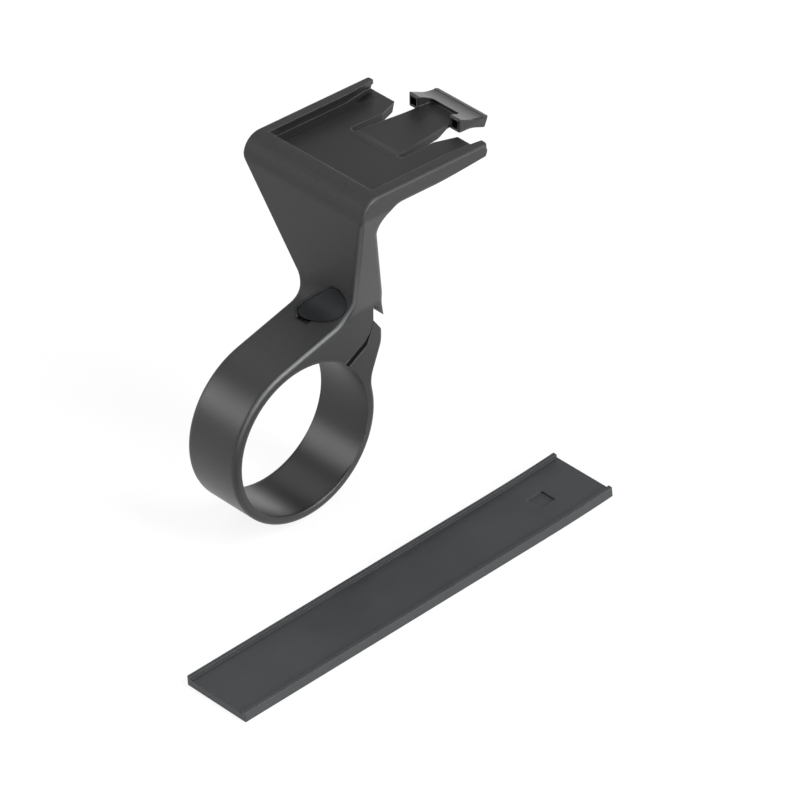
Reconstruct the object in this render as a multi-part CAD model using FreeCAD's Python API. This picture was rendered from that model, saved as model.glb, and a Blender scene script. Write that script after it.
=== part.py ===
import FreeCAD, Part
import math
import os

os.makedirs("parts", exist_ok=True)

# Out-front computer mount: one moulding with a bar ring, a raked arm and a plate that
# carries two rails and a sprung latch, the clamp's screw, nut and cap, and a bar liner.
# Millimetres. The origin is the centre of the bar bore. X runs along the handlebar,
# Y forward along the rails, and Z up, square to the plate.

# Bar ring
BORE_R = 17.5
RING_WALL = 2.05
RING_WIDTH = 14.7

# Arm from the side: the rider's face and the front face, both leaning back as they rise
RAMP_SLOPE = 0.305
RIDER_LEAN = 0.235
RIDER_TOP_Y = 5.14
THROAT_ROUND = 5.0
TOP_BACK_ROUND = 4.6
FRONT_LEAN = 0.3875
FRONT_TOP_Y = 10.6
UNDERARM_ROUND = 5.0

# Arm from the rider's side: it widens from the ring to the plate
FLARE_START_Z = 24.3
FLARE_END_Z = 54.9
FLARE_FOOT_ROUND = 8.0
FLARE_TOP_ROUND = 3.0

# Rounding of the outer edges
EDGE_ROUND = 0.9
FRONT_EDGE_ROUND = 1.1

# Plate
PLATE_WIDTH = 36.6
PLATE_TOP_Z = 59.4
PLATE_FRONT_Y = 41.2
PLATE_UNDER_Z = 55.05
UNDER_BEVEL_RISE = 0.079
UNDER_BEVEL_START_Y = 20.2
UNDER_BEVEL_HALF = 13.8
NOSE_BEVEL = 1.3
RAIL_TOP_WIDTH = 2.75
RAIL_FLARE = 1.0
RAIL_FLARE_LENGTH = 7.0
SEAT_DEPTH = 2.25
SEAT_BACK_Y = 13.9
RIDGE_WIDTH_Y = 2.6

# Undercut channel beside each rail, which takes the computer's tabs
CHANNEL_DEPTH = 3.0
CHANNEL_INNER_HALF = 13.2
CHANNEL_BACK_Y = 13.5
CHANNEL_RISE_Y = 34.0
CHANNEL_RISE_LENGTH = 5.0
LIP_THICKNESS = 1.2
RAIL_WEB = 1.45

# Latch opening in the plate and the tongue in it
ROOT_Y = 26.8
OPENING_ROOT_HALF = 8.0
OPENING_NECK_HALF = 7.75
OPENING_NECK_Y = 35.65
OPENING_MOUTH_HALF = 9.73
OPENING_ROOT_ROUND = 0.65
STEP_HALF = 12.4
STEP_DEPTH = 0.5
TONGUE_ROOT_HALF = 6.6
TONGUE_TIP_HALF = 4.77
TONGUE_THICKNESS = 2.0
TONGUE_DROP = 0.05
TONGUE_BEND_BEFORE_HEAD = 3.3
TONGUE_BEND_ROUND = 3.0
KNUCKLE_GAP = 0.05

# Latch head: two catches that stand behind the computer's edge, and a sloped thumb pad
HEAD_BACK_Y = 43.0
HEAD_MIDDLE_Y = 46.4
HEAD_FRONT_Y = 51.4
HEAD_BACK_HALF = 7.7
HEAD_FRONT_HALF = 7.4
HEAD_TOP_Z = 59.45
HEAD_BACK_UNDER_Z = 56.3
HEAD_FRONT_UNDER_Z = 54.6
HEAD_UNDER_BEND_Y = 46.4
HEAD_UNDER_BEND_Z = 56.1
HEAD_UNDER_ROUND = 8.0
PAD_SLOPE = -0.39
GRIP_HEIGHT = 0.8
GRIP_THICKNESS = 1.4
CATCH_POCKET = 1.9
CATCH_POCKET_WALL = 0.5
CATCH_POCKET_DEPTH = 1.4

# Split clamp: places are from the point of the ring's outside at CLAMP_ANGLE, as (y, z)
CLAMP_ANGLE = 45.0
FIN_TIP = (8.8, 6.6)
FIN_ROOT = (6.0, 10.3)
FACE_TOP = (5.33, 11.0)
FACE_FOOT = (5.33, 7.1)
EAR_TIP = (7.94, 3.5)
EAR_CORNER = (7.94, 0.9)
EAR_CORNER_ROUND = 6.0
EAR_BLEND_ANGLE = 12.3
EAR_BLEND_REACH = 2.3
SPLIT_BORE = (-3.0, -1.5)
SPLIT_KNEE = (3.1, 2.2)
SPLIT_CLOSE = (4.3, 4.5)
SPLIT_MOUTH = 1.35
SPLIT_SEAM = 0.3

# Clamp screw: its axis passes outside the bore, and places along it are from that point
SCREW_RAKE = 36.0
SCREW_WALL = 4.95
SCREW_R = 1.5
SCREW_LENGTH = 8.0
SCREW_HEAD_R = 2.75
SCREW_HEAD_HEIGHT = 2.8
SOCKET_ACROSS = 2.5
SOCKET_DEPTH = 1.4
SCREW_SEAT_AT = -7.4
SCREW_GAP = 0.15
HEAD_GAP = 0.2
NUT_ACROSS = 5.5
NUT_HEIGHT = 1.8
NUT_AT = -2.1
NUT_GAP = 0.1
THREAD_GAP = 0.05

# Cap over the screw: an oval turned about the screw's axis, its centre beside that axis
CAP_HALF_LENGTH = 6.05
CAP_HALF_WIDTH = 3.1
CAP_TURN = 28.8
CAP_CENTRE_X = 1.1
CAP_CENTRE_ACROSS = 0.9
CAP_GAP = 0.25
CAP_SET_IN = 0.15
CAP_FLOOR_AT = -12.6
CAP_FLOOR_GAP = 0.3
CAP_STEM_GAP = 0.1
CAP_HEAD_GAP = 0.3
PRY_NOTCH_X = -0.9
PRY_NOTCH_HALF = 1.9
PRY_NOTCH_ACROSS = -4.0
PRY_NOTCH_DEPTH = 0.5

# Liner strip, lying flat beside the mount on a plane that dips towards the rider
STRIP_LENGTH = 102.2
STRIP_WIDTH = 17.6
STRIP_FLOOR = 1.6
STRIP_LIP_HEIGHT = 0.75
STRIP_LIP_WIDTH = 0.95
STRIP_CURL = 0.5
STRIP_CURL_LENGTH = 20.0
STRIP_X = 30.35
STRIP_Y = -52.9
STRIP_BELOW_BAR = 0.5
STRIP_PITCH = 4.0
STRIP_PATCH = 4.2
STRIP_PATCH_DEPTH = 0.25
STRIP_PATCH_END = 10.0

RING_R = BORE_R + RING_WALL
RING_HALF = RING_WIDTH / 2
PLATE_HALF = PLATE_WIDTH / 2
RAIL_INNER_HALF = PLATE_HALF - RAIL_TOP_WIDTH
SEAT_Z = PLATE_TOP_Z - SEAT_DEPTH
LIP_UNDER_Z = PLATE_TOP_Z - LIP_THICKNESS
CHANNEL_FLOOR_Z = PLATE_TOP_Z - CHANNEL_DEPTH
# Length by which a cutter passes the surface that it cuts
PAST = 3.0


def side_point(y, z, x=0.0):
    """Point of the side view."""
    return FreeCAD.Vector(x, y, z)


def front_point(x, z, y=0.0):
    """Point of the view along the rails."""
    return FreeCAD.Vector(x, y, z)


def plan_point(x, y, z=0.0):
    """Point of the view from above."""
    return FreeCAD.Vector(x, y, z)


def outline(corners, place):
    """Face inside the corners (u, v) or (u, v, radius), set in space by place(u, v)."""
    points = [FreeCAD.Vector(corner[0], corner[1], 0) for corner in corners]
    radii = [corner[2] if len(corner) > 2 else 0.0 for corner in corners]
    stops = []
    for i, here in enumerate(points):
        back = (points[i - 1] - here).normalize()
        ahead = (points[(i + 1) % len(points)] - here).normalize()
        half = back.getAngle(ahead) / 2
        reach = radii[i] / math.tan(half)
        middle = here + (back + ahead).normalize() * (radii[i] / math.sin(half) - radii[i])
        stops.append((here + back * reach, middle, here + ahead * reach))
    edges = []
    for i, (start, middle, end) in enumerate(stops):
        if radii[i] > 0:
            arc = Part.Arc(*(place(p.x, p.y) for p in (start, middle, end)))
            edges.append(arc.toShape())
        following = stops[(i + 1) % len(stops)][0]
        if (following - end).Length > 1e-6:
            line = Part.LineSegment(place(end.x, end.y), place(following.x, following.y))
            edges.append(line.toShape())
    return Part.Face(Part.Wire(edges))


def side_prism(corners, x0, x1):
    """Solid of a side outline (y, z) from x0 to x1."""
    face = outline(corners, lambda y, z: side_point(y, z, x0))
    return face.extrude(FreeCAD.Vector(x1 - x0, 0, 0))


def plan_prism(corners, z0, z1):
    """Solid of an outline (x, y) seen from above, from z0 to z1."""
    face = outline(corners, lambda x, y: plan_point(x, y, z0))
    return face.extrude(FreeCAD.Vector(0, 0, z1 - z0))


def mirrored(shape):
    """The same shape on the other side of the middle plane."""
    return shape.mirror(FreeCAD.Vector(), FreeCAD.Vector(1, 0, 0))


def polar(radius, degrees):
    """Point (y, z) of the side view at a radius and an angle above the forward axis."""
    return radius * math.cos(math.radians(degrees)), radius * math.sin(math.radians(degrees))


def at_clamp(offset):
    """Point (y, z) given from the ring's outside at the clamp."""
    y, z = polar(RING_R, CLAMP_ANGLE)
    return y + offset[0], z + offset[1]


def crossing(point_a, slope_a, point_b, lean_b):
    """Where a line z = slope * y through point_a meets a line y = -lean * z through point_b."""
    (ya, za), (yb, zb) = point_a, point_b
    z = (za + slope_a * (yb + lean_b * zb - ya)) / (1 + slope_a * lean_b)
    return yb - lean_b * (z - zb), z


# Directions of the clamp screw in the side view: down along it, and square to it
AXIS = side_point(math.sin(math.radians(SCREW_RAKE)), -math.cos(math.radians(SCREW_RAKE)))
ACROSS = side_point(-AXIS.z, AXIS.y)
SCREW_FOOT = ACROSS * (BORE_R + SCREW_WALL)


def on_screw(along):
    """Point of the screw's axis."""
    return SCREW_FOOT + AXIS * along


def screw_cylinder(radius, start, end):
    """Cylinder about the screw's axis."""
    return Part.makeCylinder(radius, end - start, on_screw(start), AXIS)


def screw_prism(x_range, across_range, start, end):
    """Rectangular bar along the screw's axis."""
    (x0, x1), (across0, across1) = x_range, across_range
    corners = [(x0, across0), (x1, across0), (x1, across1), (x0, across1)]
    base = on_screw(start)
    points = [base + FreeCAD.Vector(x, 0, 0) + ACROSS * across for x, across in corners]
    face = Part.Face(Part.makePolygon(points + points[:1]))
    return face.extrude(AXIS * (end - start))


def cap_oval(margin, start, end):
    """Bar along the screw's axis, with the cap's outline and a margin round it."""
    centre = on_screw(start) + FreeCAD.Vector(CAP_CENTRE_X, 0, 0) + ACROSS * CAP_CENTRE_ACROSS
    turn = math.radians(CAP_TURN)
    along_major = FreeCAD.Vector(math.cos(turn), 0, 0) + ACROSS * math.sin(turn)
    along_minor = FreeCAD.Vector(-math.sin(turn), 0, 0) + ACROSS * math.cos(turn)
    major = centre + along_major * (CAP_HALF_LENGTH + margin)
    minor = centre + along_minor * (CAP_HALF_WIDTH + margin)
    face = Part.Face(Part.Wire(Part.Ellipse(major, minor, centre).toShape()))
    return face.extrude(AXIS * (end - start))


def side_edges_at(shape, place):
    """Edges of the shape's left and right sides that pass through place (y, z)."""
    found = []
    for edge in shape.Edges:
        middle = edge.CenterOfMass
        probe = Part.Vertex(side_point(*place, middle.x))
        runs_along_side = edge.BoundBox.XLength < abs(middle.x)
        if runs_along_side and edge.distToShape(probe)[0] < EDGE_ROUND / 2:
            found.append(edge)
    return found


def side_silhouette():
    """Corners (y, z) of the mount from the side, without the lower half of the ring."""
    ramp_angle = math.degrees(math.atan(RAMP_SLOPE)) + 90
    ramp_start = polar(RING_R, ramp_angle)
    throat = crossing(ramp_start, RAMP_SLOPE, (RIDER_TOP_Y, PLATE_TOP_Z), RIDER_LEAN)
    blend_start = FreeCAD.Vector(*polar(RING_R, EAR_BLEND_ANGLE), 0)
    blend_corner = blend_start + FreeCAD.Vector(*polar(EAR_BLEND_REACH, EAR_BLEND_ANGLE + 90), 0)
    ear_corner = FreeCAD.Vector(*at_clamp(EAR_CORNER), 0)
    blend_turn = (blend_start - blend_corner).getAngle(ear_corner - blend_corner)
    blend_round = EAR_BLEND_REACH * math.tan(blend_turn / 2)
    face_top_y, face_top_z = at_clamp(FACE_TOP)
    fin_top_z = at_clamp(FIN_ROOT)[1] + 2.4
    fin_top_y = FRONT_TOP_Y + FRONT_LEAN * (PLATE_UNDER_Z - fin_top_z)
    return [
        (0, 0),
        ramp_start,
        (*throat, THROAT_ROUND),
        (RIDER_TOP_Y, PLATE_TOP_Z, TOP_BACK_ROUND),
        (PLATE_FRONT_Y, PLATE_TOP_Z, 0.4),
        (PLATE_FRONT_Y, PLATE_TOP_Z - 1.2),
        (PLATE_FRONT_Y - NOSE_BEVEL, PLATE_UNDER_Z),
        (FRONT_TOP_Y, PLATE_UNDER_Z, UNDERARM_ROUND),
        (fin_top_y, fin_top_z, 20.0),
        at_clamp(FIN_TIP),
        at_clamp(FIN_ROOT),
        (face_top_y, face_top_z),
        at_clamp(FACE_FOOT),
        at_clamp(EAR_TIP),
        (ear_corner.x, ear_corner.y, EAR_CORNER_ROUND),
        (blend_corner.x, blend_corner.y, blend_round),
        (blend_start.x, blend_start.y),
    ]


def width_silhouette():
    """Corners (x, z) of the mount seen along the rails."""
    half = [
        (RING_HALF, -RING_R - PAST),
        (RING_HALF, FLARE_START_Z, FLARE_FOOT_ROUND),
        (PLATE_HALF, FLARE_END_Z, FLARE_TOP_ROUND),
        (PLATE_HALF, PLATE_TOP_Z + PAST),
    ]
    other = [(-corner[0], *corner[1:]) for corner in reversed(half)]
    return half + other


def mount_block():
    """The moulding's outer form, before anything is cut from it."""
    arm = side_prism(side_silhouette(), -PLATE_HALF, PLATE_HALF)
    face = outline(width_silhouette(), lambda x, z: front_point(x, z, -RING_R - PAST))
    widths = face.extrude(FreeCAD.Vector(0, RING_R + PLATE_FRONT_Y + 2 * PAST, 0))
    ring_start = FreeCAD.Vector(-RING_HALF, 0, 0)
    disc = Part.makeCylinder(RING_R, RING_WIDTH, ring_start, FreeCAD.Vector(1, 0, 0))
    block = arm.common(widths).fuse(disc).removeSplitter()
    front_z = (PLATE_UNDER_Z + at_clamp(FIN_ROOT)[1]) / 2
    front_middle = (FRONT_TOP_Y + FRONT_LEAN * (PLATE_UNDER_Z - front_z), front_z)
    block = block.makeFillet(FRONT_EDGE_ROUND, side_edges_at(block, front_middle))
    # The rounding runs on from the ring along the rider's face, the ear and the rails
    return block.makeFillet(EDGE_ROUND, side_edges_at(block, polar(RING_R, 270)))


def under_bevel():
    """Wedge below the right rail, which thins the plate's outer edge towards the front."""
    run = PLATE_FRONT_Y - UNDER_BEVEL_START_Y + PAST
    front_z = PLATE_UNDER_Z + UNDER_BEVEL_RISE * run
    corners = [
        (PLATE_HALF + PAST, front_z + 0.36 * PAST),
        (UNDER_BEVEL_HALF, PLATE_UNDER_Z),
        (PLATE_HALF + PAST, PLATE_UNDER_Z - PAST),
    ]
    face = outline(corners, lambda x, z: front_point(x, z, PLATE_FRONT_Y + PAST))
    return face.extrude(FreeCAD.Vector(0, -run, -UNDER_BEVEL_RISE * run))


def seat_cut():
    """Space between the rails, with its floor, rear slope and flared mouth."""
    ridge_y = SEAT_BACK_Y - RIDGE_WIDTH_Y
    floor = side_prism(
        [
            (ridge_y, PLATE_TOP_Z),
            (SEAT_BACK_Y, SEAT_Z),
            (PLATE_FRONT_Y + PAST, SEAT_Z),
            (PLATE_FRONT_Y + PAST, PLATE_TOP_Z + PAST),
            (ridge_y, PLATE_TOP_Z + PAST),
        ],
        -RAIL_INNER_HALF,
        RAIL_INNER_HALF,
    )
    mouth_y = PLATE_FRONT_Y - RAIL_FLARE_LENGTH
    past_half = RAIL_INNER_HALF + RAIL_FLARE * (1 + PAST / RAIL_FLARE_LENGTH)
    mouth = plan_prism(
        [
            (RAIL_INNER_HALF, mouth_y, 20.0),
            (past_half, PLATE_FRONT_Y + PAST),
            (0, PLATE_FRONT_Y + PAST),
            (0, SEAT_BACK_Y + PAST),
            (RAIL_INNER_HALF, SEAT_BACK_Y + PAST),
        ],
        SEAT_Z,
        PLATE_TOP_Z + PAST,
    )
    return floor.fuse([mouth, mirrored(mouth)])


def channel_cut():
    """Undercut channel beside the right rail."""
    rise_end_y = CHANNEL_RISE_Y + CHANNEL_RISE_LENGTH
    return side_prism(
        [
            (CHANNEL_BACK_Y, CHANNEL_FLOOR_Z),
            (CHANNEL_RISE_Y, CHANNEL_FLOOR_Z, 3.0),
            (rise_end_y, SEAT_Z),
            (PLATE_FRONT_Y + PAST, SEAT_Z),
            (PLATE_FRONT_Y + PAST, LIP_UNDER_Z),
            (CHANNEL_BACK_Y, LIP_UNDER_Z),
        ],
        CHANNEL_INNER_HALF,
        PLATE_HALF - RAIL_WEB,
    )


def knuckle_height():
    """Height of the latch's pivot, half way through the tongue."""
    return SEAT_Z - TONGUE_DROP - TONGUE_THICKNESS / 2


def latch_opening_cut():
    """Opening for the latch: a slot each side of the tongue that widens into a mouth."""
    half = [
        (OPENING_ROOT_HALF, ROOT_Y, OPENING_ROOT_ROUND),
        (OPENING_NECK_HALF, OPENING_NECK_Y, 0.3),
        (OPENING_MOUTH_HALF, PLATE_FRONT_Y),
        (STEP_HALF - STEP_DEPTH, PLATE_FRONT_Y - STEP_DEPTH),
        (STEP_HALF, PLATE_FRONT_Y),
        (STEP_HALF, PLATE_FRONT_Y + PAST),
    ]
    other = [(-corner[0], *corner[1:]) for corner in reversed(half)]
    opening = plan_prism(half + other, PLATE_UNDER_Z - PAST, PLATE_TOP_Z + PAST)
    seat_r = TONGUE_THICKNESS / 2 + KNUCKLE_GAP
    seat_half = TONGUE_ROOT_HALF + KNUCKLE_GAP
    start = FreeCAD.Vector(-seat_half, ROOT_Y, knuckle_height())
    seat = Part.makeCylinder(seat_r, 2 * seat_half, start, FreeCAD.Vector(1, 0, 0))
    return opening.fuse(seat)


def split_cut():
    """Slot that parts the ring: wide at the bore, and a fine seam where it leaves."""
    bore, knee, close, foot = (
        FreeCAD.Vector(*at_clamp(place), 0) for place in (SPLIT_BORE, SPLIT_KNEE, SPLIT_CLOSE, FACE_FOOT)
    )
    leave = foot + (foot - close).normalize() * PAST
    slot_side = (knee - bore).cross(FreeCAD.Vector(0, 0, 1)).normalize()
    seam_side = (foot - close).cross(FreeCAD.Vector(0, 0, 1)).normalize()
    lower = [bore + slot_side * SPLIT_MOUTH / 2, knee + slot_side * SPLIT_MOUTH / 2]
    lower += [close + seam_side * SPLIT_SEAM, leave + seam_side * SPLIT_SEAM]
    upper = [leave, close, knee - slot_side * SPLIT_MOUTH / 2, bore - slot_side * SPLIT_MOUTH / 2]
    corners = [(point.x, point.y) for point in lower + upper]
    return side_prism(corners, -RING_HALF - PAST, RING_HALF + PAST)


def clamp_cuts():
    """Recess for the cap, counterbore, screw hole and nut pocket, all about the screw."""
    top = CAP_FLOOR_AT - 3 * PAST
    recess = cap_oval(CAP_GAP, top, CAP_FLOOR_AT)
    counterbore = screw_cylinder(SCREW_HEAD_R + HEAD_GAP, CAP_FLOOR_AT, SCREW_SEAT_AT)
    hole = screw_cylinder(SCREW_R + SCREW_GAP, SCREW_SEAT_AT, NUT_AT + NUT_HEIGHT + PAST)
    half_pocket = NUT_ACROSS / 2 + NUT_GAP
    pocket_range = (-half_pocket, half_pocket)
    pocket = screw_prism(pocket_range, pocket_range, NUT_AT, NUT_AT + 4 * PAST)
    notch_x = (PRY_NOTCH_X - PRY_NOTCH_HALF, PRY_NOTCH_X + PRY_NOTCH_HALF)
    notch = screw_prism(notch_x, (PRY_NOTCH_ACROSS, 0), top, CAP_FLOOR_AT - PRY_NOTCH_DEPTH)
    return recess.fuse([counterbore, hole, pocket, notch])


def make_mount_body(block):
    """The moulding: ring, arm, plate and rails."""
    bore_start = FreeCAD.Vector(-RING_HALF - PAST, 0, 0)
    bore = Part.makeCylinder(BORE_R, RING_WIDTH + 2 * PAST, bore_start, FreeCAD.Vector(1, 0, 0))
    bevel = under_bevel()
    channel = channel_cut()
    cuts = [bore, seat_cut(), channel, mirrored(channel), bevel, mirrored(bevel)]
    cuts += [latch_opening_cut(), split_cut(), clamp_cuts()]
    return block.cut(cuts).removeSplitter()


def make_latch_tongue():
    """Sprung tongue with its knuckle at the root and the catches and pad at its tip."""
    middle_z = knuckle_height()
    top_z = middle_z + TONGUE_THICKNESS / 2
    under_z = middle_z - TONGUE_THICKNESS / 2
    knuckle_start = FreeCAD.Vector(-TONGUE_ROOT_HALF + 0.1, ROOT_Y, middle_z)
    knuckle_width = 2 * (TONGUE_ROOT_HALF - 0.1)
    knuckle = Part.makeCylinder(TONGUE_THICKNESS / 2, knuckle_width, knuckle_start, FreeCAD.Vector(1, 0, 0))
    blade = side_prism(
        [
            (ROOT_Y, under_z),
            (HEAD_BACK_Y - TONGUE_BEND_BEFORE_HEAD, under_z, TONGUE_BEND_ROUND),
            (HEAD_BACK_Y - 0.8, HEAD_BACK_UNDER_Z),
            (HEAD_MIDDLE_Y + 0.5, HEAD_BACK_UNDER_Z),
            (HEAD_MIDDLE_Y + 0.5, top_z),
            (ROOT_Y, top_z),
        ],
        -TONGUE_ROOT_HALF,
        TONGUE_ROOT_HALF,
    )
    sides = plan_prism(
        [
            (-TONGUE_ROOT_HALF, ROOT_Y),
            (TONGUE_ROOT_HALF, ROOT_Y),
            (TONGUE_TIP_HALF, HEAD_BACK_Y - 2.0, 40.0),
            (TONGUE_TIP_HALF, HEAD_FRONT_Y),
            (-TONGUE_TIP_HALF, HEAD_FRONT_Y),
            (-TONGUE_TIP_HALF, HEAD_BACK_Y - 2.0, 40.0),
        ],
        under_z - PAST,
        top_z + PAST,
    )
    return blade.common(sides).fuse([knuckle, latch_head()]).removeSplitter()


def latch_head():
    """Head of the latch: catches at the back, pad sloping down to a grip at the front."""
    front_top_z = HEAD_TOP_Z + PAD_SLOPE * (HEAD_FRONT_Y - HEAD_BACK_Y)
    grip_back_y = HEAD_FRONT_Y - GRIP_THICKNESS
    grip_foot_z = HEAD_TOP_Z + PAD_SLOPE * (grip_back_y - HEAD_BACK_Y)
    profile = side_prism(
        [
            (HEAD_BACK_Y, HEAD_BACK_UNDER_Z),
            (HEAD_UNDER_BEND_Y, HEAD_UNDER_BEND_Z, HEAD_UNDER_ROUND),
            (HEAD_FRONT_Y - 1.1, HEAD_FRONT_UNDER_Z, 0.3),
            (HEAD_FRONT_Y, front_top_z + GRIP_HEIGHT, 0.3),
            (grip_back_y, grip_foot_z + GRIP_HEIGHT, 0.3),
            (grip_back_y - 0.5, grip_foot_z),
            (HEAD_BACK_Y, HEAD_TOP_Z, 0.4),
        ],
        -HEAD_BACK_HALF,
        HEAD_BACK_HALF,
    )
    plan = plan_prism(
        [
            (-HEAD_BACK_HALF, HEAD_BACK_Y, 0.4),
            (-TONGUE_TIP_HALF, HEAD_BACK_Y, 0.3),
            (-TONGUE_TIP_HALF + 0.4, HEAD_MIDDLE_Y, 1.2),
            (TONGUE_TIP_HALF - 0.4, HEAD_MIDDLE_Y, 1.2),
            (TONGUE_TIP_HALF, HEAD_BACK_Y, 0.3),
            (HEAD_BACK_HALF, HEAD_BACK_Y, 0.4),
            (HEAD_FRONT_HALF, HEAD_FRONT_Y, 0.4),
            (-HEAD_FRONT_HALF, HEAD_FRONT_Y, 0.4),
        ],
        HEAD_FRONT_UNDER_Z - PAST,
        HEAD_TOP_Z + PAST,
    )
    pocket_x = TONGUE_TIP_HALF + CATCH_POCKET_WALL
    pocket = Part.makeBox(
        CATCH_POCKET,
        CATCH_POCKET_DEPTH + 1,
        CATCH_POCKET,
        FreeCAD.Vector(pocket_x, HEAD_BACK_Y - 1, HEAD_BACK_UNDER_Z + CATCH_POCKET_WALL),
    )
    return profile.common(plan).cut([pocket, mirrored(pocket)])


def make_screw_cap(block):
    """Oval cap, flush with the arm's surface, with a round stem over the screw."""
    reach = CAP_FLOOR_AT - 3 * PAST
    underside_at = CAP_FLOOR_AT - CAP_FLOOR_GAP
    oval = cap_oval(0, reach, underside_at)
    set_in = block.copy()
    set_in.translate(AXIS * CAP_SET_IN)
    stem_end = SCREW_SEAT_AT - SCREW_HEAD_HEIGHT - CAP_HEAD_GAP
    stem_r = SCREW_HEAD_R + HEAD_GAP - CAP_STEM_GAP
    stem = screw_cylinder(stem_r, underside_at, stem_end)
    return oval.common(set_in).fuse(stem).removeSplitter()


def make_clamp_screw():
    """Low-head cap screw."""
    head_top = SCREW_SEAT_AT - SCREW_HEAD_HEIGHT
    head = screw_cylinder(SCREW_HEAD_R, head_top, SCREW_SEAT_AT)
    shank = screw_cylinder(SCREW_R, SCREW_SEAT_AT, SCREW_SEAT_AT + SCREW_LENGTH)
    corner_r = SOCKET_ACROSS / math.sqrt(3)
    base = on_screw(head_top)
    points = []
    for i in range(7):
        turn = math.radians(60 * i)
        points.append(base + FreeCAD.Vector(corner_r * math.cos(turn), 0, 0) + ACROSS * corner_r * math.sin(turn))
    socket = Part.Face(Part.makePolygon(points)).extrude(AXIS * SOCKET_DEPTH)
    return head.fuse(shank).cut(socket).removeSplitter()


def make_clamp_nut():
    """Thin square nut in its pocket."""
    sides = (-NUT_ACROSS / 2, NUT_ACROSS / 2)
    block = screw_prism(sides, sides, NUT_AT, NUT_AT + NUT_HEIGHT)
    return block.cut(screw_cylinder(SCREW_R + THREAD_GAP, NUT_AT - 1, NUT_AT + NUT_HEIGHT + 1))


def strip_section(height, y_end):
    """Corners-free side face of the strip: flat, then curling up towards the far end."""
    flat_y = STRIP_LENGTH - STRIP_CURL_LENGTH
    curl_r = (STRIP_CURL_LENGTH**2 + STRIP_CURL**2) / (2 * STRIP_CURL)
    turn = math.asin(STRIP_CURL_LENGTH / curl_r)

    def curl(radius, share):
        angle = turn * share
        return side_point(flat_y + radius * math.sin(angle), curl_r - radius * math.cos(angle))

    inner_r = curl_r - height
    lower = Part.Arc(curl(curl_r, 0), curl(curl_r, y_end / 2), curl(curl_r, y_end)).toShape()
    upper = Part.Arc(curl(inner_r, y_end), curl(inner_r, y_end / 2), curl(inner_r, 0)).toShape()
    edges = [
        Part.LineSegment(side_point(0, 0), curl(curl_r, 0)).toShape(),
        lower,
        Part.LineSegment(curl(curl_r, y_end), curl(inner_r, y_end)).toShape(),
        upper,
        Part.LineSegment(curl(inner_r, 0), side_point(0, height)).toShape(),
        Part.LineSegment(side_point(0, height), side_point(0, 0)).toShape(),
    ]
    return Part.Face(Part.Wire(edges))


def make_shim_strip():
    """Liner strip: a thin floor with a lip along each long edge."""
    floor = strip_section(STRIP_FLOOR, 1).extrude(FreeCAD.Vector(STRIP_WIDTH, 0, 0))
    lip = strip_section(STRIP_FLOOR + STRIP_LIP_HEIGHT, 1).extrude(FreeCAD.Vector(STRIP_LIP_WIDTH, 0, 0))
    far_lip = lip.copy()
    far_lip.translate(FreeCAD.Vector(STRIP_WIDTH - STRIP_LIP_WIDTH, 0, 0))
    patch = Part.makeBox(
        STRIP_PATCH,
        STRIP_PATCH,
        PAST,
        FreeCAD.Vector(
            (STRIP_WIDTH - STRIP_PATCH) / 2,
            STRIP_LENGTH - STRIP_PATCH_END - STRIP_PATCH,
            STRIP_FLOOR - STRIP_PATCH_DEPTH,
        ),
    )
    strip = floor.cut(patch).fuse([lip, far_lip]).removeSplitter()
    # The lips lie just below a bar through the ring
    dip = math.radians(STRIP_PITCH)
    underside = BORE_R + STRIP_BELOW_BAR + STRIP_LIP_HEIGHT + STRIP_FLOOR
    strip_z = -underside / math.cos(dip) + math.tan(dip) * STRIP_Y
    strip.Placement = FreeCAD.Placement(
        FreeCAD.Vector(STRIP_X, STRIP_Y, strip_z),
        FreeCAD.Rotation(FreeCAD.Vector(1, 0, 0), STRIP_PITCH),
    )
    return strip


def main():
    block = mount_block()
    nodes = {
        "mount_body": make_mount_body(block),
        "latch_tongue": make_latch_tongue(),
        "screw_cap": make_screw_cap(block),
        "clamp_screw": make_clamp_screw(),
        "clamp_nut": make_clamp_nut(),
        "shim_strip": make_shim_strip(),
    }
    for name, shape in nodes.items():
        shape.exportStep(f"parts/{name}.step")
        print(name, shape.isValid(), len(shape.Solids), round(shape.Volume, 1))


main()
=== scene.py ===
"""Studio scene of an out-front computer mount with its bar liner lying beside it.

Lengths are in metres, in the frame of the CAD model: the origin is the centre of the bar
bore, X runs along the handlebar, Y forward along the rails and Z up, square to the plate.
"""

import logging
import math
from dataclasses import dataclass, field
from enum import Enum

import bmesh
import bpy
from mathutils import Matrix, Vector


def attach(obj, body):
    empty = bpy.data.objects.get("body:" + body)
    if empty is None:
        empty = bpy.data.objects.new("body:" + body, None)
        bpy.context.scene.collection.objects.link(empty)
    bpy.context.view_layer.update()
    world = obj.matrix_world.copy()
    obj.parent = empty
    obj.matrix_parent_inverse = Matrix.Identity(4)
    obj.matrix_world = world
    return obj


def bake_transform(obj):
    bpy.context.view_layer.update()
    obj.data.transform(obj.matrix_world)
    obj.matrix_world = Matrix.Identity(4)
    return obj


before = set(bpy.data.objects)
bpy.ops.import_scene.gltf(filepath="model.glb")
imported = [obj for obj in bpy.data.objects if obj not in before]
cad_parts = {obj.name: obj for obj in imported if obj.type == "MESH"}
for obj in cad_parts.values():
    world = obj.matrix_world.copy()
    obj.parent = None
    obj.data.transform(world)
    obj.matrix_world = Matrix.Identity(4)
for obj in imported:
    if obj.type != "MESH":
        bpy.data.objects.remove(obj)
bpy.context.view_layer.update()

log = logging.getLogger("mount_scene")
MM = 0.001

PLASTIC_IOR = 1.5
WHITE = (1.0, 1.0, 1.0, 1.0)
NOISE_MIDDLE = 0.5

Number = float | int
Colour = tuple[float, float, float]
Range = tuple[float, float]
Triple = tuple[float, float, float]


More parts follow.
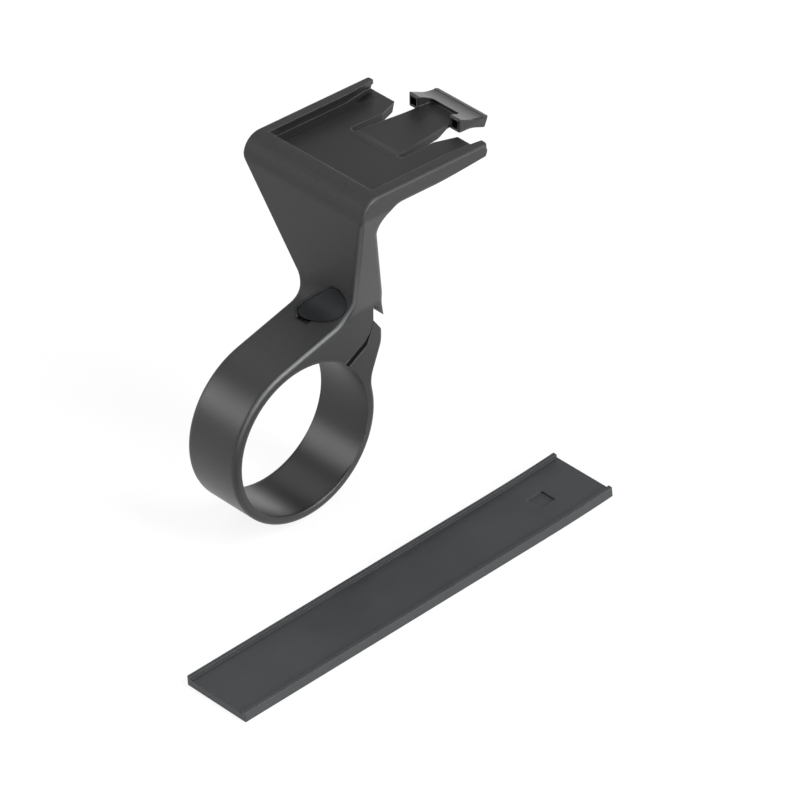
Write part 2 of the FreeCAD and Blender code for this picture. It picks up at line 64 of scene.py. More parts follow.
class Body(Enum):
    """Bodies of the CAD model."""

    MOUNT = "mount"
    LATCH = "latch"
    CAP = "cap"
    SCREW = "screw"


class Slot(Enum):
    """Material slots of the record."""

    MOULDING = "moulding"
    CAP = "cap_rubber"
    STEEL = "steel"
    LINER = "liner_rubber"


@dataclass(frozen=True)
class Value:
    """A socket of a node tree that can be used in a Python expression."""

    sheet: "Sheet"
    socket: bpy.types.NodeSocket

    def _with(self, operation: str, first: "Value | Number", second: "Value | Number") -> "Value":
        """Adds a Math node.

        Args:
            operation: The Math node's operation.
            first: Its first number.
            second: Its second number.

        Returns:
            The node's result.
        """
        node = self.sheet.add("ShaderNodeMath", {"operation": operation}, {0: first, 1: second})
        return self.sheet.value(node, 0)

    def __add__(self, other: "Value | Number") -> "Value":
        """self + other."""
        return self._with("ADD", self, other)

    def __radd__(self, other: Number) -> "Value":
        """other + self."""
        return self._with("ADD", other, self)

    def __sub__(self, other: "Value | Number") -> "Value":
        """self - other."""
        return self._with("SUBTRACT", self, other)

    def __rsub__(self, other: Number) -> "Value":
        """other - self."""
        return self._with("SUBTRACT", other, self)

    def __mul__(self, other: "Value | Number") -> "Value":
        """self * other."""
        return self._with("MULTIPLY", self, other)

    def __rmul__(self, other: Number) -> "Value":
        """other * self."""
        return self._with("MULTIPLY", other, self)

    def size(self) -> "Value":
        """self without its sign."""
        return self._with("ABSOLUTE", self, 0.0)

    def past(self, start: Number, end: Number) -> "Value":
        """0 up to start, 1 from end on, and a straight rise between them."""
        return ((self - start) * (1.0 / (end - start))).share()

    def share(self) -> "Value":
        """self, held between 0 and 1."""
        return self.at_least(0.0).at_most(1.0)

    def at_most(self, other: "Value | Number") -> "Value":
        """The smaller of self and other."""
        return self._with("MINIMUM", self, other)

    def at_least(self, other: "Value | Number") -> "Value":
        """The larger of self and other."""
        return self._with("MAXIMUM", self, other)


class Sheet:
    """The node tree of one material or of the world."""

    def __init__(self, tree: bpy.types.NodeTree) -> None:
        """Empties the tree.

        Args:
            tree: The node tree to write to.
        """
        self.tree = tree
        tree.nodes.clear()

    def add(
        self, kind: str, settings: dict | None = None, inputs: dict | None = None
    ) -> bpy.types.Node:
        """Adds a node, sets it up and fills its inputs.

        Args:
            kind: The node's type.
            settings: Its settings, by attribute name.
            inputs: Values, or links to Value or to a node's socket, by input name or number.

        Returns:
            The new node.
        """
        node = self.tree.nodes.new(kind)
        for name, setting in (settings or {}).items():
            setattr(node, name, setting)
        for name, given in (inputs or {}).items():
            if isinstance(given, Value):
                self.tree.links.new(given.socket, node.inputs[name])
            elif isinstance(given, bpy.types.NodeSocket):
                self.tree.links.new(given, node.inputs[name])
            else:
                node.inputs[name].default_value = given
        return node

    def value(self, node: bpy.types.Node, name: str | int) -> Value:
        """One output of a node, for expressions."""
        return Value(self, node.outputs[name])

    def place(self) -> Value:
        """The point on the surface, in metres from the object's origin."""
        return self.value(self.add("ShaderNodeTexCoord"), "Object")

    def facing(self) -> Value:
        """The direction that the surface faces, in the object's axes."""
        return self.value(self.add("ShaderNodeTexCoord"), "Normal")

    def parts(self, point: Value) -> tuple[Value, Value, Value]:
        """The three numbers of a point."""
        node = self.add("ShaderNodeSeparateXYZ", None, {0: point})
        return self.value(node, 0), self.value(node, 1), self.value(node, 2)

    def between(self, factor: Value, first: Value, second: Value) -> Value:
        """A direction between two directions.

        Args:
            factor: 0 for the first, 1 for the second.
            first: The first direction.
            second: The second direction.

        Returns:
            The mixed direction, of length 1.
        """
        node = self.add("ShaderNodeMix", {"data_type": "VECTOR"}, {0: factor, 4: first, 5: second})
        unit = self.add("ShaderNodeVectorMath", {"operation": "NORMALIZE"}, {0: node.outputs[1]})
        return self.value(unit, 0)

    def stretched(self, point: Value, factors: Triple) -> Value:
        """A point scaled along each axis.

        Args:
            point: The point.
            factors: One factor for each axis.

        Returns:
            The scaled point.
        """
        node = self.add("ShaderNodeVectorMath", {"operation": "MULTIPLY"}, {0: point, 1: factors})
        return self.value(node, 0)

    def noise(self, point: Value, per_metre: float, detail: float, roughness: float) -> Value:
        """Soft random variation from 0 to 1.

        Args:
            point: Where it is read.
            per_metre: How many spots lie along a metre.
            detail: How many finer layers are added.
            roughness: How strong the finer layers are.

        Returns:
            The variation.
        """
        inputs = {"Vector": point, "Scale": per_metre, "Detail": detail, "Roughness": roughness}
        return self.value(self.add("ShaderNodeTexNoise", None, inputs), 0)

    def blend(self, factor: Value, first: Colour | Value, second: Colour | Value) -> Value:
        """A colour between two colours.

        Args:
            factor: 0 for the first, 1 for the second.
            first: The first colour.
            second: The second colour.

        Returns:
            The mixed colour.
        """
        inputs = {0: factor}
        for number, colour in ((6, first), (7, second)):
            inputs[number] = colour if isinstance(colour, Value) else (*colour, 1.0)
        node = self.add("ShaderNodeMix", {"data_type": "RGBA"}, inputs)
        return self.value(node, 2)

    def softened(self, radius: float) -> Value:
        """The surface normal with sharp edges softened over a radius in metres."""
        return self.value(self.add("ShaderNodeBevel", {"samples": 8}, {"Radius": radius}), 0)

    def edges(self, softened: Value) -> Value:
        """How much a softened normal has turned from the true one.

        Args:
            softened: The softened normal.

        Returns:
            The turn, which is 0 on flat surfaces.
        """
        flat = self.value(self.add("ShaderNodeNewGeometry"), "Normal")
        both = {0: softened, 1: flat}
        dot = self.add("ShaderNodeVectorMath", {"operation": "DOT_PRODUCT"}, both)
        return 1.0 - self.value(dot, "Value")

    def relief(self, height: Value, depth: float, normal: Value) -> Value:
        """A surface normal with fine relief.

        Args:
            height: The relief, from 0 to 1.
            depth: Its depth in metres.
            normal: The normal that the relief lies on.

        Returns:
            The normal.
        """
        inputs = {"Strength": 1.0, "Distance": depth, "Height": height, "Normal": normal}
        return self.value(self.add("ShaderNodeBump", None, inputs), 0)

    def surface(self, shader: bpy.types.Node) -> None:
        """Joins a shader to the material's output."""
        self.add("ShaderNodeOutputMaterial", None, {"Surface": shader.outputs[0]})


def new_material(name: str) -> tuple[bpy.types.Material, Sheet]:
    """Makes an empty node material.

    Args:
        name: The material's name.

    Returns:
        The material and its sheet.
    """
    material = bpy.data.materials.new(name)
    material.use_nodes = True
    return material, Sheet(material.node_tree)


@dataclass(frozen=True)
class Zones:
    """Where the moulding's finish changes. Each is a share from 0 to 1.

    Attributes:
        seat: The floor between the rails.
        smooth: The seat, the latch's head and the side faces.
        raised: The arm and all above it.
        bore: The inside of the ring, where shade is painted.
        rounded: The rounded long edges, where a highlight is painted.
    """

    seat: Value
    smooth: Value
    raised: Value
    bore: Value
    rounded: Value


@dataclass(frozen=True)
class MouldedNylon:
    """Dark moulded plastic: satin on the ring, spark-eroded and matt on the arm and the rails, with
    painted shade in the bore and on the seat and painted highlights along edges.

    Where two values are given, the zone starts at the first and is full from the second.

    Attributes:
        colour: Colour of the least worn plastic.
        worn: Colour of the most worn faces.
        painted_edge_highlight: Colour of the painted highlight along small and rounded edges.
        painted_shade_and_web: Colour of the bore and, in part, of the seat.
        painted_shade_on_seat: Share of that colour on the seat.
        satin: Roughness of the ring, the seat, the latch's head and the side faces.
        matt: Roughness of the arm's faces and the rails.
        gloss: Strength of the mirror reflection.
        grain_per_metre: Fineness of the grain.
        grain_depth: Its depth.
        grain_on_smooth: Share of it that the satin ring keeps.
        grain_lost: Share of the arm's grain that its smooth zones lose.
        grain_roughness: How much the roughness varies with the grain.
        cloud_per_metre: Size of the soft patches of wear.
        cloud_roughness: How much the roughness varies with them.
        speck_per_metre: Size of the fine specks.
        speck_share: Share that the specks have in the wear.
        wear_floor: Level of patches and specks at which wear begins.
        wear_contrast: How quickly it grows from there.
        wear_middle: Wear of an even, smooth face.
        wear_on_smooth: Share of the wear's contrast that the satin ring keeps.
        raised: Heights where the arm's grain begins and is full.
        seat_height: Height above which the space between the rails is smooth.
        seat_half: Half of that space's width.
        seat_back: Where that space ends behind.
        side_slope: How squarely a face looks sideways to count as a side face.
        side_half: Half width outside which the plate's side faces are smooth.
        head_y: Where the latch's smooth head begins.
        bore_radius: Radius within which the ring has its bore.
        edge_radius: Softening of the small edges.
        edge_highlight_strength: How strongly the highlight is painted on the small edges.
        long_edge_radius: Softening of the long edges of the ring and the arm.
        long_edge_top: Heights over which those end.
        long_edge_front: How far forward they run.
        high: Heights over which the plate begins.
        rounding_start: Sideways slope from which an edge counts as rounded.
        rounding_end: Sideways slope at which it ends.
        highlight_start: Heights over which the painted highlight on rounded edges begins.
        highlight_fade: Heights over which it grows fainter along the arm.
        highlight_lost_on_arm: Share of it that is lost there.
        highlight_lost_on_plate: Share of it that is lost on the plate.
        highlight_front: Where it ends forward.
        highlight_evenness: Share of it that doesn't vary with the patches of wear.
    """

    name: str = "moulded_nylon"
    colour: Colour = (0.0108, 0.0111, 0.0118)
    worn: Colour = (0.019, 0.0194, 0.0204)
    painted_edge_highlight: Colour = (0.1, 0.103, 0.108)
    painted_shade_and_web: Colour = (0.005, 0.0051, 0.0056)
    painted_shade_on_seat: float = 0.75
    satin: float = 0.37
    matt: float = 0.66
    gloss: float = 0.5
    grain_per_metre: float = 1500.0
    grain_depth: float = 0.03 * MM
    grain_on_smooth: float = 0.2
    grain_lost: float = 0.85
    grain_roughness: float = 0.08
    cloud_per_metre: float = 70.0
    cloud_roughness: float = 0.08
    speck_per_metre: float = 1100.0
    speck_share: float = 0.65
    wear_floor: float = 0.3
    wear_contrast: float = 2.2
    wear_middle: float = 0.3
    wear_on_smooth: float = 0.35
    raised: Range = (12.0 * MM, 27.0 * MM)
    seat_height: Range = (56.6 * MM, 56.8 * MM)
    seat_half: Range = (15.6 * MM, 15.9 * MM)
    seat_back: Range = (13.9 * MM, 14.2 * MM)
    side_slope: Range = (0.7, 0.9)
    side_half: Range = (10.5 * MM, 11.0 * MM)
    head_y: Range = (42.6 * MM, 43.1 * MM)
    bore_radius: Range = (17.6 * MM, 17.65 * MM)
    edge_radius: float = 0.22 * MM
    edge_highlight_strength: float = 2.5
    long_edge_radius: float = 1.1 * MM
    long_edge_top: Range = (52.5 * MM, 54.0 * MM)
    long_edge_front: Range = (11.0 * MM, 13.0 * MM)
    high: Range = (53.0 * MM, 54.0 * MM)
    rounding_start: Range = (0.25, 0.5)
    rounding_end: Range = (0.8, 0.92)
    highlight_start: Range = (5.0 * MM, 14.0 * MM)
    highlight_fade: Range = (24.0 * MM, 42.0 * MM)
    highlight_lost_on_arm: float = 0.65
    highlight_lost_on_plate: float = 0.35
    highlight_front: Range = (13.0 * MM, 15.0 * MM)
    highlight_evenness: float = 0.6

    def build(self) -> bpy.types.Material:
        """Makes the material.

        Returns:
            The material.
        """
        material, sheet = new_material(self.name)
        place = sheet.place()
        grain = sheet.noise(place, self.grain_per_metre, detail=3.0, roughness=0.6)
        cloud = sheet.noise(place, self.cloud_per_metre, detail=2.0, roughness=0.5)
        zones = self._zones(sheet)
        eroded = zones.raised * (1.0 - self.grain_lost * zones.smooth)
        small_edge = sheet.softened(self.edge_radius)
        rough = self.satin + (self.matt - self.satin) * zones.raised * (1.0 - zones.smooth)
        rough = rough + (cloud - NOISE_MIDDLE) * self.cloud_roughness
        relief = grain * (self.grain_on_smooth + (1.0 - self.grain_on_smooth) * eroded)
        inputs = {
            "Base Color": self._tone(sheet, zones, eroded, cloud, small_edge),
            "Roughness": rough + (grain - NOISE_MIDDLE) * self.grain_roughness * eroded,
            "Normal": sheet.relief(relief, self.grain_depth, self._long_edges(sheet, small_edge)),
            "IOR": PLASTIC_IOR,
            "Specular IOR Level": self.gloss,
        }
        sheet.surface(sheet.add("ShaderNodeBsdfPrincipled", None, inputs))
        return material

    def _zones(self, sheet: Sheet) -> Zones:
        """Finds the zones from the place on the part and the way the surface faces.

        Args:
            sheet: The material's sheet.

        Returns:
            The zones.
        """
        x, y, z = sheet.parts(sheet.place())
        aside = x.size()
        sideways = sheet.parts(sheet.facing())[0].size()
        high = z.past(*self.high)
        within = 1.0 - aside.past(*self.seat_half)
        seat = z.past(*self.seat_height) * within * y.past(*self.seat_back)
        side_face = sideways.past(*self.side_slope)
        side = side_face * aside.past(*self.side_half).at_least(1.0 - high)
        first, last = (radius**2 for radius in self.bore_radius)
        rounding = sideways.past(*self.rounding_start) * (1.0 - sideways.past(*self.rounding_end))
        lost = self.highlight_lost_on_arm * z.past(*self.highlight_fade) + self.highlight_lost_on_plate * high
        reached = z.past(*self.highlight_start) * (1.0 - y.past(*self.highlight_front))
        return Zones(
            seat=seat,
            smooth=seat.at_least(y.past(*self.head_y)).at_least(side),
            raised=z.past(*self.raised),
            bore=1.0 - (y * y + z * z).past(first, last),
            rounded=rounding * (1.0 - lost) * reached,
        )

    def _tone(
        self, sheet: Sheet, zones: Zones, eroded: Value, cloud: Value, small_edge: Value
    ) -> Value:
        """The colour, with specks, painted shade in the bore and on the seat, and painted
        highlights along edges.

        Args:
            sheet: The material's sheet.
            zones: The zones of the finish.
            eroded: How strong the grain is.
            cloud: Soft patches of wear.
            small_edge: The normal with softened small edges.

        Returns:
            The colour.
        """
        speck = sheet.noise(sheet.place(), self.speck_per_metre, detail=2.0, roughness=0.6)
        level = cloud * (1.0 - self.speck_share) + speck * self.speck_share
        wear = ((level - self.wear_floor) * self.wear_contrast).share()
        contrast = self.wear_on_smooth + (1.0 - self.wear_on_smooth) * eroded
        wear = self.wear_middle + (wear - self.wear_middle) * contrast
        dark = sheet.blend(wear, self.colour, self.worn)
        # Painted shade: the bore and the seat are darkened.
        dark = sheet.blend(zones.bore.at_least(zones.seat * self.painted_shade_on_seat), dark, self.painted_shade_and_web)
        # Painted highlight: light lines along the small edges and the rounded long edges.
        edge_highlight = (sheet.edges(small_edge) * self.edge_highlight_strength * (NOISE_MIDDLE + cloud)).share()
        uneven = self.highlight_evenness + (1.0 - self.highlight_evenness) * cloud
        return sheet.blend(edge_highlight.at_least(zones.rounded * uneven), dark, self.painted_edge_highlight)

    def _long_edges(self, sheet: Sheet, small_edge: Value) -> Value:
        """The normal, softened further along the long edges of the ring and the arm.

        Args:
            sheet: The material's sheet.
            small_edge: The normal with softened small edges.

        Returns:
            The normal.
        """
        if self.long_edge_radius <= 0:
            return small_edge
        _, y, z = sheet.parts(sheet.place())
        along = (1.0 - z.past(*self.long_edge_top)) * (1.0 - y.past(*self.long_edge_front))
        return sheet.between(along, small_edge, sheet.softened(self.long_edge_radius))


@dataclass(frozen=True)
class SoftRubber:
    """Smooth dark rubber with a faint bloom.

    Attributes:
        colour: Colour where it is clean.
        bloom: Colour where the bloom lies.
        roughness: Its roughness.
        gloss: Strength of the mirror reflection.
        bloom_per_metre: Size of the patches of bloom.
        bloom_roughness: How much the roughness varies with the bloom.
        bloom_floor: Level of patches and flow marks at which the bloom begins.
        bloom_contrast: How quickly it grows from there.
        flow_per_metre: Fineness of the flow marks.
        flow_stretch: How the flow marks are drawn out along Y.
        flow_in_bloom: Share that they have in the bloom.
        flow_in_relief: Share that they have in the relief.
        grain_per_metre: Fineness of the grain.
        grain_depth: Its depth.
        grain_roughness: How much the roughness varies with the grain.
        edge_radius: Softening of the edges.
    """

    name: str
    colour: Colour
    bloom: Colour
    roughness: float
    gloss: float
    bloom_per_metre: float = 110.0
    bloom_roughness: float = 0.14
    bloom_floor: float = 0.3
    bloom_contrast: float = 1.8
    flow_per_metre: float = 500.0
    flow_stretch: Triple = (1.0, 0.15, 1.0)
    flow_in_bloom: float = 0.25
    flow_in_relief: float = 0.3
    grain_per_metre: float = 1800.0
    grain_depth: float = 0.008 * MM
    grain_roughness: float = 0.06
    edge_radius: float = 0.2 * MM

    def build(self) -> bpy.types.Material:
        """Makes the material.

        Returns:
            The material.
        """
        material, sheet = new_material(self.name)
        place = sheet.place()
        bloom = sheet.noise(place, self.bloom_per_metre, detail=3.0, roughness=0.55)
        drawn_out = sheet.stretched(place, self.flow_stretch)
        flow = sheet.noise(drawn_out, self.flow_per_metre, detail=2.0, roughness=0.5)
        grain = sheet.noise(place, self.grain_per_metre, detail=2.0, roughness=0.5)
        level = bloom * (1.0 - self.flow_in_bloom) + flow * self.flow_in_bloom
        tone = ((level - self.bloom_floor) * self.bloom_contrast).share()
        rough = self.roughness + (bloom - NOISE_MIDDLE) * self.bloom_roughness
        relief = grain * (1.0 - self.flow_in_relief) + flow * self.flow_in_relief
        edge = sheet.softened(self.edge_radius)
        inputs = {
            "Base Color": sheet.blend(tone, self.colour, self.bloom),
            "Roughness": rough + (grain - NOISE_MIDDLE) * self.grain_roughness,
            "Normal": sheet.relief(relief, self.grain_depth, edge),
            "IOR": PLASTIC_IOR,
            "Specular IOR Level": self.gloss,
        }
        sheet.surface(sheet.add("ShaderNodeBsdfPrincipled", None, inputs))
        return material


@dataclass(frozen=True)
class TurnedSteel:
    """Bright steel with fine turning marks.

    Attributes:
        colour: Colour of clean steel.
        dull: Colour of duller patches.
        roughness: Its roughness.
        cloud_per_metre: Size of the duller patches.
        mark_per_metre: Fineness of the turning marks.
        mark_stretch: How the marks are drawn out along X.
        mark_depth: Their depth.
        mark_roughness: How much the roughness varies with them.
        edge_radius: Softening of the edges.
    """

    name: str = "turned_steel"
    colour: Colour = (0.52, 0.52, 0.53)
    dull: Colour = (0.36, 0.36, 0.37)
    roughness: float = 0.3
    cloud_per_metre: float = 400.0
    mark_per_metre: float = 4000.0
    mark_stretch: Triple = (0.2, 1.0, 1.0)
    mark_depth: float = 0.004 * MM
    mark_roughness: float = 0.2
    edge_radius: float = 0.1 * MM

    def build(self) -> bpy.types.Material:
        """Makes the material.

        Returns:
            The material.
        """
        material, sheet = new_material(self.name)
        place = sheet.place()
        drawn_out = sheet.stretched(place, self.mark_stretch)
        marks = sheet.noise(drawn_out, self.mark_per_metre, detail=1.0, roughness=0.5)
        cloud = sheet.noise(place, self.cloud_per_metre, detail=2.0, roughness=0.5)
        inputs = {
            "Base Color": sheet.blend(cloud, self.dull, self.colour),
            "Metallic": 1.0,
            "Roughness": self.roughness + (marks - NOISE_MIDDLE) * self.mark_roughness,
            "Normal": sheet.relief(marks, self.mark_depth, sheet.softened(self.edge_radius)),
        }
        sheet.surface(sheet.add("ShaderNodeBsdfPrincipled", None, inputs))
        return material


@dataclass(frozen=True)
class PaleSweep:
    """Pale studio floor that shows white and keeps a soft shadow.

    Attributes:
        colour: Colour of the paper.
        lighter: Colour of its lighter patches.
        cloud_per_metre: Size of those patches.
        shown_white: Share of plain white that is seen and mirrored in place of the paper.
    """

    name: str = "pale_sweep"
    colour: Colour = (0.86, 0.86, 0.86)
    lighter: Colour = (0.8772, 0.8772, 0.8772)
    cloud_per_metre: float = 6.0
    shown_white: float = 0.86

    def build(self) -> bpy.types.Material:
        """Makes the material.

        Returns:
            The material.
        """
        material, sheet = new_material(self.name)
        cloud = sheet.noise(sheet.place(), self.cloud_per_metre, detail=2.0, roughness=0.5)
        tint = sheet.blend(cloud, self.colour, self.lighter)
        paper = sheet.add("ShaderNodeBsdfDiffuse", None, {"Color": tint})
        glow = sheet.add("ShaderNodeEmission", None, {"Color": WHITE, "Strength": 1.0})
        path = sheet.add("ShaderNodeLightPath")
        seen = sheet.value(path, "Is Camera Ray") + sheet.value(path, "Is Glossy Ray")
        seen = (seen + sheet.value(path, "Is Transmission Ray")).at_most(1.0)
        inputs = {0: seen * self.shown_white, 1: paper.outputs[0], 2: glow.outputs[0]}
        sheet.surface(sheet.add("ShaderNodeMixShader", None, inputs))
        return material


@dataclass(frozen=True)
class Finishes:
    """The materials of the scene, each made once.

    Attributes:
        moulding: The body and the latch.
        web: The thin pieces that lie on them, without softened edges.
        cap: The rubber cap.
        liner: The rubber strip.
        steel: The screw and the nut.
        floor: The studio floor.
    """

    moulding: bpy.types.Material
    web: bpy.types.Material
    cap: bpy.types.Material
    liner: bpy.types.Material
    steel: bpy.types.Material
    floor: bpy.types.Material

    @classmethod
    def made(cls) -> "Finishes":
        """Makes every material.

        Returns:
            The materials.
        """
        web = MouldedNylon(name="moulded_nylon_web", edge_radius=0.0, long_edge_radius=0.0)
        cap = SoftRubber(
            name="cap_rubber",
            colour=(0.005, 0.0068, 0.0085),
            bloom=(0.009, 0.0115, 0.0135),
            roughness=0.62,
            gloss=0.3,
        )
        liner = SoftRubber(
            name="liner_rubber",
            colour=(0.021, 0.0236, 0.0255),
            bloom=(0.03, 0.0333, 0.0354),
            roughness=0.5,
            gloss=0.5,
        )
        return cls(
            moulding=MouldedNylon().build(),
            web=web.build(),
            cap=cap.build(),
            liner=liner.build(),
            steel=TurnedSteel().build(),
            floor=PaleSweep().build(),
        )


def direction_to(azimuth: float, elevation: float) -> Vector:
    """The direction from the origin to a camera or a lamp.

    Args:
        azimuth: Degrees from -Y towards +X.
        elevation: Degrees above the horizon.

    Returns:
        The direction, of length 1.
    """
    turn, rise = math.radians(azimuth), math.radians(elevation)
    aside, above = math.cos(rise), math.sin(rise)
    return Vector((math.sin(turn) * aside, -math.cos(turn) * aside, above))


def dress(node: str, material: bpy.types.Material) -> bpy.types.Object:
    """Gives a CAD node its finish.

    Args:
        node: The CAD node's name.
        material: Its material.

    Returns:
        The node's object.
    """
    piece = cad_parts[node]
    piece.data.materials.clear()
    piece.data.materials.append(material)
    log.info("%s: %d faces, %s", node, len(piece.data.polygons), material.name)
    return piece


def mesh_piece(
    name: str, mesh: bmesh.types.BMesh, material: bpy.types.Material
) -> bpy.types.Object:
    """Turns mesh work into a flat-shaded object.

    Args:
        name: The piece's name.
        mesh: The mesh, which is freed.
        material: Its material.

    Returns:
        The new object.
    """
    data = bpy.data.meshes.new(name)
    bmesh.ops.recalc_face_normals(mesh, faces=mesh.faces)
    mesh.to_mesh(data)
    mesh.free()
    data.materials.append(material)
    piece = bpy.data.objects.new(name, data)
    bpy.context.scene.collection.objects.link(piece)
    log.info("%s: %d faces, %s", name, len(data.polygons), material.name)
    return piece


def slab_piece(
    name: str, rows: list[list[Triple]], material: bpy.types.Material
) -> bpy.types.Object:
    """Makes a closed slab through rows of four corners.

    Args:
        name: The piece's name.
        rows: The corners of each cross-section, in the same order in every row.
        material: Its material.

    Returns:
        The new object.
    """
    mesh = bmesh.new()
    corners = [[mesh.verts.new(point) for point in row] for row in rows]
    for before, after in zip(corners, corners[1:]):
        for i in range(len(before)):
            mesh.faces.new((before[i - 1], before[i], after[i], after[i - 1]))
    mesh.faces.new(corners[0])
    mesh.faces.new(corners[-1])
    return mesh_piece(name, mesh, material)


@dataclass
class Moulding:
    """The body and its latch, one moulding in the real mount.

    Attributes:
        root_y: Where the latch leaves the plate.
        root_half: Half of the latch's width there.
        reach: How far the web over the root runs each way along Y.
        plate_top: Height of the plate's floor there.
        plate_under: Height of its underside.
        step: How far the latch's surfaces lie inside the plate's.
        proud: How far the web stands out of the surfaces.
        thickness: The web's thickness.
        pad_half: Half of the width of the thumb pad's hollow face.
        pad_start: Y and Z where that face leaves the latch's head.
        pad_end: Y and Z where it meets the grip's lip.
        pad_sag: How far it is hollow between them.
        pad_sunk: Depth of the filling's foot below its face, at its two ends.
        steps: Number of steps along the web and the pad.
    """

    finishes: Finishes
    root_y: float = 26.8 * MM
    root_half: float = 6.55 * MM
    reach: float = 1.3 * MM
    plate_top: float = 57.15 * MM
    plate_under: float = 55.05 * MM
    step: float = 0.05 * MM
    proud: float = 0.012 * MM
    thickness: float = 0.06 * MM
    pad_half: float = 7.36 * MM
    pad_start: tuple[float, float] = (46.45 * MM, 58.015 * MM)
    pad_end: tuple[float, float] = (50.6 * MM, 57.36 * MM)
    pad_sag: float = 0.12 * MM
    pad_sunk: Range = (1.1 * MM, 1.3 * MM)
    steps: int = 16

    def build(self) -> None:
        """Dresses the body and the latch, joins them at the root and fills the pad."""
        dress("mount_body", self.finishes.moulding)
        dress("latch_tongue", self.finishes.moulding)
        self._web("latch_web_top", self.plate_top, 1.0)
        self._web("latch_web_under", self.plate_under, -1.0)
        self._pad()

    def _web(self, name: str, level: float, side: float) -> None:
        """Thin web of plastic over the latch's root.

        Args:
            name: The piece's name.
            level: Height of the surface that it lies on.
            side: 1 above the plate, -1 below it.
        """
        half = self.root_half
        rows = []
        for i in range(self.steps + 1):
            share = i / self.steps
            y = self.root_y + self.reach * (2 * share - 1)
            lift = self.proud - self.step * max(0.0, 2 * share - 1)
            outer, inner = level + side * lift, level + side * (lift - self.thickness)
            rows.append([(-half, y, outer), (half, y, outer), (half, y, inner), (-half, y, inner)])
        painted_shade_and_web = slab_piece(name, rows, self.finishes.web)
        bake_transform(painted_shade_and_web)

    def _pad(self) -> None:
        """Hollow face of the thumb pad, from the latch's head up to its grip's lip."""
        half = self.pad_half
        (start_y, start_z), (end_y, end_z) = self.pad_start, self.pad_end
        start_foot, end_foot = start_z - self.pad_sunk[0], end_z - self.pad_sunk[1]
        rows = []
        for i in range(self.steps + 1):
            share = i / self.steps
            y = start_y + (end_y - start_y) * share
            face = start_z + (end_z - start_z) * share - self.pad_sag * 4 * share * (1 - share)
            foot = start_foot + (end_foot - start_foot) * share
            rows.append([(-half, y, face), (half, y, face), (half, y, foot), (-half, y, foot)])
        pad = slab_piece("latch_pad", rows, self.finishes.web)
        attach(pad, Body.LATCH.value)


@dataclass
class ClampHardware:
    """Screw, nut and cap of the split clamp."""

    finishes: Finishes

    def build(self) -> None:
        """Dresses the three pieces."""
        dress("clamp_screw", self.finishes.steel)
        dress("clamp_nut", self.finishes.steel)
        dress("screw_cap", self.finishes.cap)


@dataclass
class Liner:
    """Rubber strip that packs the ring for a thinner bar."""

    finishes: Finishes

    def build(self) -> None:
        """Dresses the strip."""
        dress("shim_strip", self.finishes.liner)


@dataclass(frozen=True)
class Lamp:
    """A soft rectangular lamp aimed at the mount.

    Attributes:
        azimuth: Direction from the mount, in degrees from -Y towards +X.
        elevation: Height above the horizon in degrees.
        distance: Distance from the mount.
        width: Its width.
        height: Its height.
        power: Its power in watts.
    """

    name: str
    azimuth: float
    elevation: float
    distance: float
    width: float
    height: float
    power: float


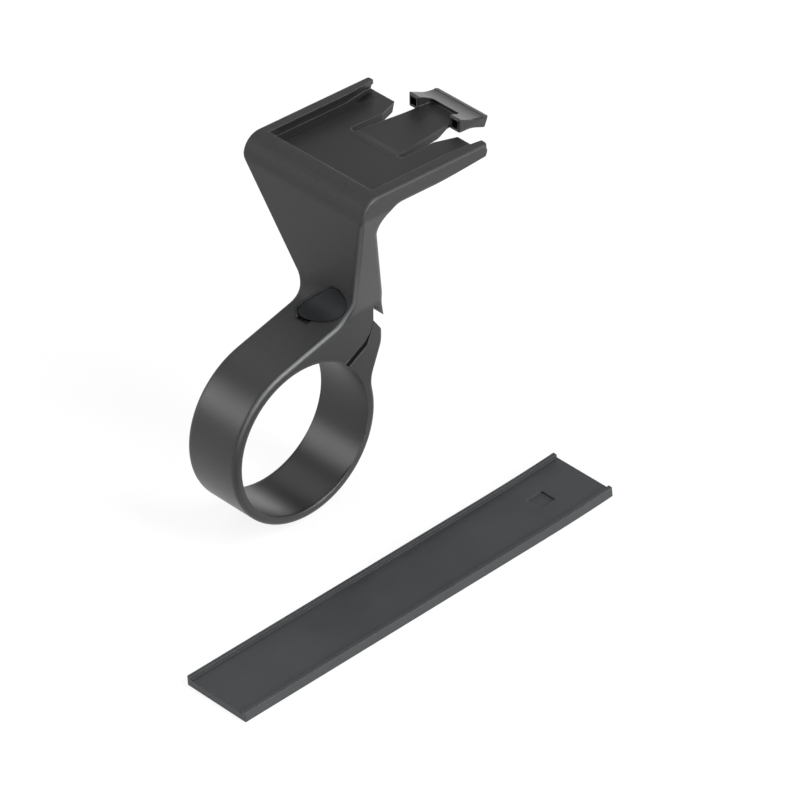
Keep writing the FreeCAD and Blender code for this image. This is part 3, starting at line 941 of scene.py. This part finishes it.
@dataclass
class Studio:
    """Floor, lamps, surroundings and camera.

    Attributes:
        floor_dip: Slope of the floor towards -Y in degrees, as the strip's underside has it.
        floor_drop: How far below the origin the strip's underside passes, square to it.
        floor_gap: How far the floor lies below that.
        floor_side: Length of the floor's side.
        azimuth: The camera's direction, in degrees from -Y towards +X.
        elevation: Its height above the horizon in degrees.
        roll: Its turn round its own view in degrees.
        distance: Its distance from the origin.
        pixels_per_metre: Scale of its image at the origin.
        origin_pixel: Where the origin lies in the image.
        image_side: Width and height of the image in pixels.
        sensor: Width of the sensor in millimetres.
        clip: Nearest and farthest distance that the camera sees.
        ambient: Strength of the surroundings' soft light.
        overhead: Strength of the surroundings overhead, as mirrored in the part.
        horizon: Height above the horizon up to which mirrored surroundings are white.
        darkening: How fast they grow darker above it.
        target: The point at which the lamps are aimed.
        lamps: The lamps.
    """

    finishes: Finishes
    floor_dip: float = 4.0
    floor_drop: float = 20.35 * MM
    floor_gap: float = 0.05 * MM
    floor_side: float = 6.0
    azimuth: float = 47.689
    elevation: float = 33.494
    roll: float = -0.357
    distance: float = 1.5
    pixels_per_metre: float = 4837.15
    origin_pixel: tuple[float, float] = (281.814, 425.421)
    image_side: float = 800.0
    sensor: float = 36.0
    clip: Range = (0.05, 20.0)
    ambient: float = 0.45
    overhead: float = 0.2
    horizon: float = 0.04
    darkening: float = 2.6
    target: Vector = field(default_factory=lambda: Vector((0.01, 0.0, 0.01)))
    lamps: tuple[Lamp, ...] = (
        Lamp("key", 96.0, 10.0, 0.9, 0.9, 0.7, 5.0),
        Lamp("edge", 106.0, 40.0, 0.9, 0.3, 0.85, 10.0),
        Lamp("left", -44.0, 26.0, 1.0, 0.5, 0.5, 3.6),
        Lamp("rear", -98.0, 57.0, 1.0, 0.6, 0.6, 1.7),
        Lamp("front", -141.0, 12.0, 1.0, 0.4, 0.34, 0.75),
    )

    def build(self) -> None:
        """Makes everything round the mount."""
        self._floor()
        self._surroundings()
        for lamp in self.lamps:
            self._lamp(lamp)
        self._camera()
        bpy.context.scene.view_settings.view_transform = "Standard"

    def _floor(self) -> None:
        """Pale floor on the strip's underside, a little below the ring."""
        mesh = bmesh.new()
        half = self.floor_side / 2
        dip = math.radians(self.floor_dip)
        corners = []
        for x, y in ((-half, -half), (half, -half), (half, half), (-half, half)):
            z = -self.floor_drop / math.cos(dip) + math.tan(dip) * y
            corners.append(mesh.verts.new((x, y, z - self.floor_gap)))
        mesh.faces.new(corners)
        floor = mesh_piece("studio_floor", mesh, self.finishes.floor)

    def _surroundings(self) -> None:
        """Soft surroundings, white for the camera and darker overhead in reflections."""
        world = bpy.data.worlds.new("studio")
        world.use_nodes = True
        bpy.context.scene.world = world
        sheet = Sheet(world.node_tree)
        path = sheet.add("ShaderNodeLightPath")
        direction = sheet.value(sheet.add("ShaderNodeTexCoord"), "Generated")
        raised = ((sheet.parts(direction)[2] - self.horizon) * self.darkening).share()
        mirrored = 1.0 - (1.0 - self.overhead) * raised
        glossy, clear = (sheet.value(path, f"Is {kind} Ray") for kind in ("Glossy", "Transmission"))
        reflected = (glossy + clear).at_most(1.0)
        seen = sheet.value(path, "Is Camera Ray")
        strength = self.ambient + seen * (1.0 - self.ambient)
        strength = strength + reflected * (mirrored - self.ambient)
        sky = sheet.add("ShaderNodeBackground", None, {"Color": WHITE, "Strength": strength})
        sheet.add("ShaderNodeOutputWorld", None, {"Surface": sky.outputs[0]})

    def _lamp(self, lamp: Lamp) -> None:
        """Adds one lamp.

        Args:
            lamp: Its place, size and power.
        """
        data = bpy.data.lights.new(lamp.name, "AREA")
        data.shape = "RECTANGLE"
        data.size = lamp.width
        data.size_y = lamp.height
        data.energy = lamp.power
        towards = direction_to(lamp.azimuth, lamp.elevation)
        piece = bpy.data.objects.new(lamp.name, data)
        piece.location = self.target + towards * lamp.distance
        piece.rotation_mode = "QUATERNION"
        piece.rotation_quaternion = (-towards).to_track_quat("-Z", "Y")
        bpy.context.scene.collection.objects.link(piece)

    def _camera(self) -> None:
        """Camera at the photograph's place."""
        turn, roll = math.radians(self.azimuth), math.radians(self.roll)
        level = Vector((math.cos(turn), math.sin(turn), 0))
        back = direction_to(self.azimuth, self.elevation)
        upright = back.cross(level)
        right = level * math.cos(roll) + upright * math.sin(roll)
        up = upright * math.cos(roll) - level * math.sin(roll)
        centre = self.image_side / 2
        aside = (self.origin_pixel[0] - centre) / self.pixels_per_metre
        above = (centre - self.origin_pixel[1]) / self.pixels_per_metre
        data = bpy.data.cameras.new("camera")
        data.sensor_width = self.sensor
        data.lens = self.pixels_per_metre * self.distance / self.image_side * self.sensor
        data.clip_start, data.clip_end = self.clip
        camera = bpy.data.objects.new("camera", data)
        turned = Matrix((right, up, back)).transposed().to_4x4()
        place = back * self.distance - right * aside - up * above
        camera.matrix_world = Matrix.Translation(place) @ turned
        bpy.context.scene.collection.objects.link(camera)
        bpy.context.scene.camera = camera


def main() -> None:
    """Builds the scene."""
    logging.basicConfig(level=logging.INFO, format="%(name)s: %(message)s")
    finishes = Finishes.made()
    for assembly in (Moulding, ClampHardware, Liner, Studio):
        assembly(finishes).build()


if __name__ == "__main__":
    main()
